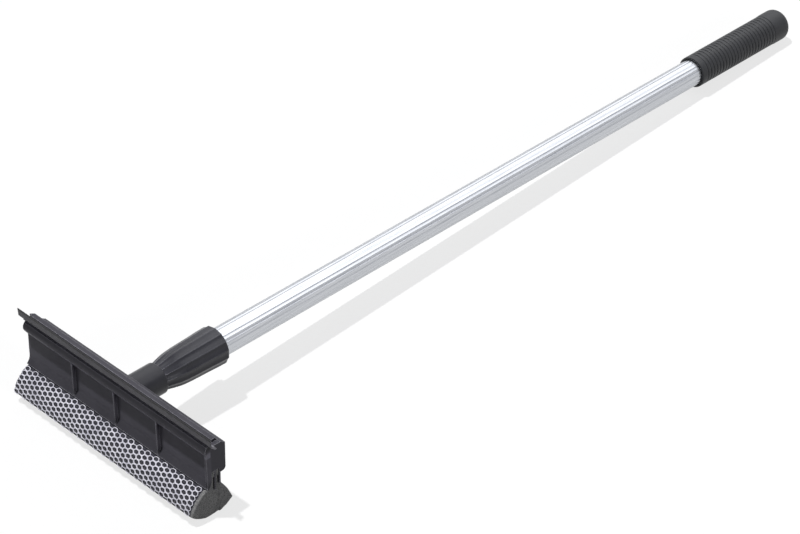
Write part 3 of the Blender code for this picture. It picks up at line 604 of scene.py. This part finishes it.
def frontArc():
    turn = math.radians(sponge["flareTurn"])
    cy, cz = sponge["flareCentre"]
    shoulder = (cy + sponge["flareRadius"] * math.cos(turn) - sponge["gap"],
                cz - sponge["flareRadius"] * math.sin(turn) - sponge["gap"])
    corner = sponge["frontCorner"]
    centre, radius = circleThrough(corner, shoulder, sponge["frontBulge"])
    top = math.atan2(shoulder[1] - centre.y, shoulder[0] - centre.x)
    foot = math.atan2(corner[1] - centre.y, corner[0] - centre.x)
    return centre, radius, top, (foot - top) % math.tau


arcCentre, arcRadius, arcStart, arcTurn = frontArc()
netMiddle = (net["left"] + net["right"]) / 2
netSpan = net["right"] - net["left"]
netColumns = int((netSpan - net["strand"]) / net["pitchX"])


# sponge: a foam bar with a pinched neck, pressed into pillows by its net

# the side under the net is painted dark as the shade in the net's holes, the cut ends and the back keep the
# foam's paler grey
foamLook = {
    "shadeLeft": -0.0962, "shadeRight": 0.0933, "shadeFrom": -0.3596,
    "cut": ("#454546", "#666667", "#80807f"), "netHoleShade": ("#15151a", "#24242c", "#34343e"),
}


def foamMaterial():
    # Open cell polyether foam: no shine, with painted shade in the pits between paler cell walls
    material, tree, shader = startMaterial("openCellFoam", Roughness=1.0, IOR=1.45, Specular_IOR_Level=0.15,
                                           Sheen_Weight=0.25, Sheen_Roughness=0.6)
    place = addNode(tree, "ShaderNodeTexCoord").outputs["Object"]
    # cells 0.9 mm across, and walls 1.6 mm apart that are drawn coarse so that they show
    cells = addNode(tree, "ShaderNodeTexVoronoi", {"Vector": place, "Scale": 1150.0, "Randomness": 1.0},
                    feature="F1")
    walls = addNode(tree, "ShaderNodeTexVoronoi", {"Vector": place, "Scale": 620.0, "Randomness": 1.0},
                    feature="DISTANCE_TO_EDGE")
    # patches of about 11 mm
    cloud = addNode(tree, "ShaderNodeTexNoise", {"Vector": place, "Scale": 90.0, "Detail": 4.0})
    pitShade = addNode(tree, "ShaderNodeValToRGB", {"Fac": cells.outputs["Distance"]},
                   [(0.15, grey(0.0)), (0.55, grey(1.0))])
    seams = addNode(tree, "ShaderNodeValToRGB", {"Fac": walls.outputs["Distance"]},
                    [(0.02, grey(1.0)), (0.22, grey(0.0))])
    half = addNode(tree, "ShaderNodeMath", {0: pitShade, 1: 0.5}, operation="MULTIPLY")
    body = addNode(tree, "ShaderNodeMath", {0: seams, 1: 0.5, 2: half}, operation="MULTIPLY_ADD")
    shade = addNode(tree, "ShaderNodeMath", {0: body, 1: 0.7}, operation="MULTIPLY")
    shade = addNode(tree, "ShaderNodeMath", {0: cloud.outputs["Fac"], 1: 0.4, 2: shade},
                    operation="MULTIPLY_ADD")
    cut, netHoleShade = [addNode(tree, "ShaderNodeValToRGB", {"Fac": shade},
                        [(position, srgb(colour)) for position, colour in zip((0.15, 0.55, 0.9), look)])
                for look in (foamLook["cut"], foamLook["netHoleShade"])]
    split = addNode(tree, "ShaderNodeSeparateXYZ", {0: place}).outputs
    # painted shade: the side under the net, between its ends, takes the darker tones
    front = addNode(tree, "ShaderNodeMath", {0: split["Y"], 1: foamLook["shadeFrom"]}, operation="LESS_THAN")
    right = addNode(tree, "ShaderNodeMath", {0: split["X"], 1: foamLook["shadeRight"]}, operation="LESS_THAN")
    left = addNode(tree, "ShaderNodeMath", {0: split["X"], 1: foamLook["shadeLeft"]}, operation="GREATER_THAN")
    shadedUnderNet = addNode(tree, "ShaderNodeMath", {0: left, 1: right}, operation="MULTIPLY")
    shadedUnderNet = addNode(tree, "ShaderNodeMath", {0: front, 1: shadedUnderNet}, operation="MULTIPLY")
    tone = addNode(tree, "ShaderNodeMix", {0: shadedUnderNet, 6: cut, 7: netHoleShade}, data_type="RGBA")
    tree.links.new(tone.outputs[2], shader.inputs["Base Color"])
    bump = addNode(tree, "ShaderNodeBump", {"Height": body, "Strength": 0.8, "Distance": 0.0003})
    tree.links.new(bump.outputs[0], shader.inputs["Normal"])
    return material


def pillowAt(p):
    # how far the foam swells through the hole of the net that is nearest to this point
    if p.y > arcCentre.x or p.z > sponge["pillowTop"]:
        return 0.0
    if p.x > net["right"]:
        return -sponge["endRound"] * ((p.x - net["right"]) / net["endMargin"]) ** 2
    angle = math.atan2(p.z - arcCentre.y, p.y - arcCentre.x) % math.tau - arcStart % math.tau
    along = angle * arcRadius
    firstColumn = netMiddle - (netColumns - 1) * net["pitchX"] / 2
    middle = (p.x - firstColumn) / net["pitchX"]
    best = 1.0
    for column in (math.floor(middle), math.floor(middle) + 1):
        if 0 <= column < netColumns:
            rows = net["rows"] - column % 2
            firstRow = net["firstRow"] + (column % 2) * net["pitchS"] / 2
            row = min(max(round((along - firstRow) / net["pitchS"]), 0), rows - 1)
            away = math.hypot((middle - column) * net["pitchX"], along - firstRow - row * net["pitchS"])
            best = min(best, away / sponge["pillowRadius"])
    return sponge["pillow"] * math.cos(best * math.pi / 2) ** 2


def makeSponge():
    bm = bmesh.new()
    bm.from_mesh(nodes["sponge"].data)
    bmesh.ops.remove_doubles(bm, verts=bm.verts, dist=meshLook["merge"])
    mesh = bpy.data.meshes.new("foamBar")
    bm.to_mesh(mesh)
    bm.free()
    obj = linkedObject("foamBar", mesh)
    remesh = obj.modifiers.new("even skin", "REMESH")
    remesh.mode = "VOXEL"
    remesh.voxel_size = sponge["voxel"]
    remesh.use_smooth_shade = True
    mesh = bakeModifiers(obj)
    outward = [vert.normal.copy() for vert in mesh.vertices]
    for vert, normal in zip(mesh.vertices, outward):
        p = vert.co
        push = (sponge["coarse"] * noise.noise(p * sponge["coarseScale"])
                + sponge["fine"] * noise.noise(p * sponge["fineScale"]))
        vert.co = p + normal * (push + pillowAt(toTool @ p) - sponge["inset"])
    return mesh


spongePiece = finishMesh("foamSponge", makeSponge(), foamMaterial(), "head", "sponge")
print("sponge made")


# knitted net: a loop of yarn round every hole, laid on the sponge's front face by nodes

def netYarn():
    # Textured polyester yarn: pale and matt, a little soiled, with a soft sheen from its loose fibres
    material, tree, shader = startMaterial("knittedPolyesterYarn", Roughness=0.72, IOR=1.5,
                                           Sheen_Weight=0.35, Sheen_Roughness=0.45)
    place = addNode(tree, "ShaderNodeTexCoord").outputs["Object"]
    # fibre bundles 0.6 mm across and patches of soil of about 9 mm
    fibre = addNode(tree, "ShaderNodeTexNoise", {"Vector": place, "Scale": 1800.0, "Detail": 3.0})
    soil = addNode(tree, "ShaderNodeTexNoise", {"Vector": place, "Scale": 110.0, "Detail": 3.0})
    mixed = addNode(tree, "ShaderNodeMath", {0: soil.outputs["Fac"], 1: 0.5}, operation="MULTIPLY")
    mixed = addNode(tree, "ShaderNodeMath", {0: fibre.outputs["Fac"], 1: 0.5, 2: mixed},
                    operation="MULTIPLY_ADD")
    stops = [(position, srgb(colour)) for position, colour in zip((0.36, 0.52, 0.68), net["colours"])]
    tone = addNode(tree, "ShaderNodeValToRGB", {"Fac": mixed}, stops)
    tree.links.new(tone.outputs[0], shader.inputs["Base Color"])
    bump = addNode(tree, "ShaderNodeBump", {"Height": fibre.outputs["Fac"], "Strength": 0.6,
                                            "Distance": 0.00012})
    tree.links.new(bump.outputs[0], shader.inputs["Normal"])
    return material


def netTree(inputs):
    tree, given = geometryTree("knittedNet", inputs)
    # a flat grid of loop places, each odd column shifted by half a row and one loop shorter
    lastColumn = addNode(tree, "ShaderNodeMath", {0: given["Columns"], 1: 1.0}, operation="SUBTRACT")
    lastRow = addNode(tree, "ShaderNodeMath", {0: given["Rows"], 1: 1.0}, operation="SUBTRACT")
    sizeX = addNode(tree, "ShaderNodeMath", {0: lastColumn, 1: given["Column Pitch"]}, operation="MULTIPLY")
    sizeS = addNode(tree, "ShaderNodeMath", {0: lastRow, 1: given["Row Pitch"]}, operation="MULTIPLY")
    grid = addNode(tree, "GeometryNodeMeshGrid", {"Size X": sizeX, "Size Y": sizeS,
                                                  "Vertices X": given["Columns"],
                                                  "Vertices Y": given["Rows"]})
    points = addNode(tree, "GeometryNodeMeshToPoints", {"Mesh": grid})
    at = addNode(tree, "ShaderNodeSeparateXYZ", {0: addNode(tree, "GeometryNodeInputPosition")}).outputs
    column = addNode(tree, "ShaderNodeMath", {0: at["X"], 1: given["Column Pitch"]}, operation="DIVIDE")
    column = addNode(tree, "ShaderNodeMath", {0: lastColumn, 1: 0.5, 2: column}, operation="MULTIPLY_ADD")
    column = addNode(tree, "ShaderNodeMath", {0: column}, operation="ROUND")
    row = addNode(tree, "ShaderNodeMath", {0: at["Y"], 1: given["Row Pitch"]}, operation="DIVIDE")
    row = addNode(tree, "ShaderNodeMath", {0: lastRow, 1: 0.5, 2: row}, operation="MULTIPLY_ADD")
    row = addNode(tree, "ShaderNodeMath", {0: row}, operation="ROUND")
    odd = addNode(tree, "ShaderNodeMath", {0: column, 1: 2.0}, operation="MODULO")
    atLast = addNode(tree, "ShaderNodeMath", {0: row, 1: lastRow, 2: 0.1}, operation="COMPARE")
    spare = addNode(tree, "ShaderNodeMath", {0: odd, 1: atLast}, operation="MULTIPLY")
    spare = addNode(tree, "ShaderNodeMath", {0: spare, 1: 0.5}, operation="GREATER_THAN")
    kept = addNode(tree, "GeometryNodeDeleteGeometry", {"Geometry": points, "Selection": spare})
    middleS = addNode(tree, "ShaderNodeMath", {0: sizeS, 1: 0.5, 2: given["First Row"]},
                      operation="MULTIPLY_ADD")
    halfRow = addNode(tree, "ShaderNodeMath", {0: given["Row Pitch"], 1: 0.5}, operation="MULTIPLY")
    shiftS = addNode(tree, "ShaderNodeMath", {0: odd, 1: halfRow, 2: middleS}, operation="MULTIPLY_ADD")
    shift = addNode(tree, "ShaderNodeCombineXYZ", {"X": given["Middle"], "Y": shiftS})
    laid = addNode(tree, "GeometryNodeSetPosition", {"Geometry": kept, "Offset": shift})

    # a rounded hexagon of yarn at each place
    hexagon = addNode(tree, "GeometryNodeCurvePrimitiveCircle", {"Resolution": 6, "Radius": 1.0})
    tall = addNode(tree, "ShaderNodeMath", {0: given["Loop Height"], 1: math.sin(math.pi / 3)},
                   operation="DIVIDE")
    scale = addNode(tree, "ShaderNodeCombineXYZ", {"X": given["Loop Length"], "Y": tall, "Z": 1.0})
    stretched = addNode(tree, "GeometryNodeTransform", {"Geometry": hexagon, "Scale": scale})
    rounded = addNode(tree, "GeometryNodeFilletCurve", {"Curve": stretched, "Radius": given["Corner Radius"],
                                                        "Count": given["Corner Steps"]}, mode="POLY")
    loops = addNode(tree, "GeometryNodeInstanceOnPoints", {"Points": laid, "Instance": rounded})
    plain = addNode(tree, "GeometryNodeRealizeInstances", {"Geometry": loops})

    # the yarn wanders a little, and the flat net is then wrapped on the arc
    flat = addNode(tree, "ShaderNodeSeparateXYZ", {0: addNode(tree, "GeometryNodeInputPosition")}).outputs
    where = addNode(tree, "ShaderNodeCombineXYZ", {"X": flat["X"], "Y": flat["Y"]})
    uneven = addNode(tree, "ShaderNodeTexNoise", {"Vector": where, "Scale": given["Unevenness Scale"],
                                                  "Detail": 1.0})
    wander = addNode(tree, "ShaderNodeSeparateXYZ", {0: uneven.outputs["Color"]}).outputs
    moved = []
    for axis in ("X", "Y"):
        part = addNode(tree, "ShaderNodeMath", {0: wander[axis], 1: 0.5}, operation="SUBTRACT")
        moved.append(addNode(tree, "ShaderNodeMath", {0: part, 1: given["Unevenness"], 2: flat[axis]},
                             operation="MULTIPLY_ADD"))
    angle = addNode(tree, "ShaderNodeMath", {0: moved[1], 1: given["Face Radius"]}, operation="DIVIDE")
    angle = addNode(tree, "ShaderNodeMath", {0: given["Start Angle"], 1: angle}, operation="ADD")
    depth = addNode(tree, "ShaderNodeMath", {0: given["Face Radius"], 1: given["Yarn Radius"]},
                    operation="SUBTRACT")
    centre = addNode(tree, "ShaderNodeSeparateXYZ", {0: given["Face Centre"]}).outputs
    wrapped = {"X": moved[0]}
    for axis, operation in (("Y", "COSINE"), ("Z", "SINE")):
        side = addNode(tree, "ShaderNodeMath", {0: angle}, operation=operation)
        wrapped[axis] = addNode(tree, "ShaderNodeMath", {0: side, 1: depth, 2: centre[axis]},
                                operation="MULTIPLY_ADD")
    onFace = addNode(tree, "ShaderNodeCombineXYZ", wrapped)
    bent = addNode(tree, "GeometryNodeSetPosition", {"Geometry": plain, "Position": onFace})
    strand = addNode(tree, "GeometryNodeCurvePrimitiveCircle", {"Resolution": given["Yarn Sides"],
                                                                "Radius": given["Yarn Radius"]})
    tube = addNode(tree, "GeometryNodeCurveToMesh", {"Curve": bent, "Profile Curve": strand})
    return endTree(tree, tube, given["Material"])


yarn = netYarn()
yarnRadius = net["strand"] / 4 + net["spareYarn"]
netInputs = {
    "Columns": netColumns, "Rows": net["rows"],
    "Column Pitch": net["pitchX"], "Row Pitch": net["pitchS"],
    "First Row": net["firstRow"], "Middle": netMiddle,
    "Loop Length": net["pitchX"] * 2 / 3 - net["strand"] / 2 + yarnRadius * net["loopOverlap"],
    "Loop Height": (net["pitchS"] - net["strand"]) / 2 + yarnRadius,
    "Corner Radius": net["corner"], "Corner Steps": net["cornerSteps"],
    "Yarn Radius": yarnRadius, "Yarn Sides": net["yarnSides"],
    "Unevenness": net["uneven"], "Unevenness Scale": net["unevenScale"],
    "Face Radius": arcRadius, "Start Angle": arcStart,
    "Face Centre": (0.0, arcCentre.x, arcCentre.y), "Material": yarn,
}
netMesh = runTree("knittedNet", netTree(netInputs), netInputs)
netPiece = finishMesh("knittedNet", netMesh, yarn, "head", "net_cover", toolPlace)
print("net made:", len(netMesh.polygons), "faces")


# stage, light and camera

stageLook = {
    "paint": 0.18, "glow": 0.75, "radius": 9.0, "flat": 1.0, "corner": 1.4, "cornerSteps": 8, "wall": 2.6,
    "sides": 96, "drop": 0.0002,
}
lightLook = {
    "sky": "#f6f8ff", "ambient": 0.13, "mirrored": 0.42,
    "key": 3.7, "keySpread": 2.0, "keyFrom": (-0.18, -0.17, 1.0),
    "fill": 0.75, "fillSpread": 9.0, "fillFrom": (1.0, -0.10, 0.45),
    "back": 0.30, "backSpread": 40.0, "backFrom": (-0.35, 1.0, 0.62),
    "cardHeight": 1.5, "cardMiddle": -1.05, "cardWide": 4.9, "cards": ((0.30, 1.00, 2.0), (1.00, 2.70, 1.05)),
}
cameraSetup = {"place": (1.19082, -1.24809, 1.31075), "turn": (51.9929, 0.8064, 44.8922), "lens": 125.9076}


def sweepMesh():
    # round floor that curves up into a low wall, so that the ground stays pale to the horizon
    corner = stageLook["corner"]
    floor = stageLook["radius"] - corner
    profile = [(0.0, 0.0), (stageLook["flat"], 0.0), (floor, 0.0)]
    for k in range(1, stageLook["cornerSteps"] + 1):
        turn = math.pi / 2 * k / stageLook["cornerSteps"]
        profile.append((floor + corner * math.sin(turn), corner * (1 - math.cos(turn))))
    profile.append((stageLook["radius"], stageLook["wall"]))
    bm = bmesh.new()
    rows = []
    for radius, height in profile:
        count = stageLook["sides"] if radius else 1
        z = height - stageLook["drop"]
        angles = [math.tau * i / count for i in range(count)]
        rows.append([bm.verts.new((radius * math.cos(a), radius * math.sin(a), z)) for a in angles])
    for inner, outer in zip(rows, rows[1:]):
        for i in range(len(outer)):
            j = (i + 1) % len(outer)
            corners = [inner[i % len(inner)], outer[i], outer[j], inner[j % len(inner)]]
            bm.faces.new(list(dict.fromkeys(corners)))
    mesh = bpy.data.meshes.new("paleSweep")
    bm.to_mesh(mesh)
    bm.free()
    mesh.shade_smooth()
    return mesh


def makeStage():
    # Matt grey paint: it bounces little light, and glows pale for the camera and for mirror and glass rays
    sweep = linkedObject("paleSweep", sweepMesh())
    material, tree, shader = startMaterial("mattGreyPaint", Roughness=0.9, Specular_IOR_Level=0.1)
    shader.inputs["Base Color"].default_value = grey(stageLook["paint"])
    path = addNode(tree, "ShaderNodeLightPath").outputs
    seen = addNode(tree, "ShaderNodeMath", {0: path["Is Camera Ray"], 1: path["Is Transmission Ray"]},
                   operation="MAXIMUM")
    seen = addNode(tree, "ShaderNodeMath", {0: seen, 1: path["Is Glossy Ray"]}, operation="MAXIMUM")
    lift = addNode(tree, "ShaderNodeMath", {0: seen, 1: stageLook["glow"]}, operation="MULTIPLY")
    glow = addNode(tree, "ShaderNodeEmission", {"Color": grey(1.0), "Strength": lift})
    both = addNode(tree, "ShaderNodeAddShader", {0: shader, 1: glow})
    tree.links.new(both.outputs[0], tree.nodes["Material Output"].inputs["Surface"])
    sweep.data.materials.append(material)


def makeWorld():
    world = bpy.data.worlds.new("softStudio")
    bpy.context.scene.world = world
    world.use_nodes = True
    tree = world.node_tree
    back = tree.nodes["Background"]
    back.inputs["Color"].default_value = srgb(lightLook["sky"])
    # shiny surfaces see a paler room than the one that lights the tool
    path = addNode(tree, "ShaderNodeLightPath").outputs
    room = addNode(tree, "ShaderNodeMath", {0: path["Is Glossy Ray"], 1: lightLook["mirrored"],
                                            2: lightLook["ambient"]}, operation="MULTIPLY_ADD")
    tree.links.new(room.outputs[0], back.inputs["Strength"])


def addLight(name, kind, energy, place, target, **settings):
    data = bpy.data.lights.new(name, kind)
    data.energy = energy
    for key, value in settings.items():
        setattr(data, key, value)
    obj = linkedObject(name, data)
    obj.location = place
    obj.rotation_euler = (Vector(target) - Vector(place)).to_track_quat("-Z", "Y").to_euler()
    return obj


def makeLights():
    for part in ("key", "fill", "back"):
        addLight(part + "Light", "SUN", lightLook[part], lightLook[part + "From"], (0.0, 0.0, 0.0),
                 angle=math.radians(lightLook[part + "Spread"]))
    wide = lightLook["cardWide"]
    for near, far, brightness in lightLook["cards"]:
        # pale cards overhead, which only the shiny surfaces mirror
        depth = far - near
        power = brightness * math.pi * wide * depth
        place = (lightLook["cardMiddle"], (near + far) / 2, lightLook["cardHeight"])
        card = addLight("mirrorCard", "AREA", power, place, (place[0], place[1], 0.0),
                        size=wide, size_y=depth, shape="RECTANGLE")
        card.visible_diffuse = False


def makeCamera():
    data = bpy.data.cameras.new("photoCamera")
    data.lens = cameraSetup["lens"]
    data.sensor_width = 36.0
    data.clip_start = 0.05
    data.clip_end = 40.0
    camera = linkedObject("photoCamera", data)
    camera.location = cameraSetup["place"]
    camera.rotation_euler = [math.radians(a) for a in cameraSetup["turn"]]
    bpy.context.scene.camera = camera


makeStage()
makeWorld()
makeLights()
makeCamera()
bpy.context.scene.view_settings.view_transform = "Standard"
print("stage, light and camera made")
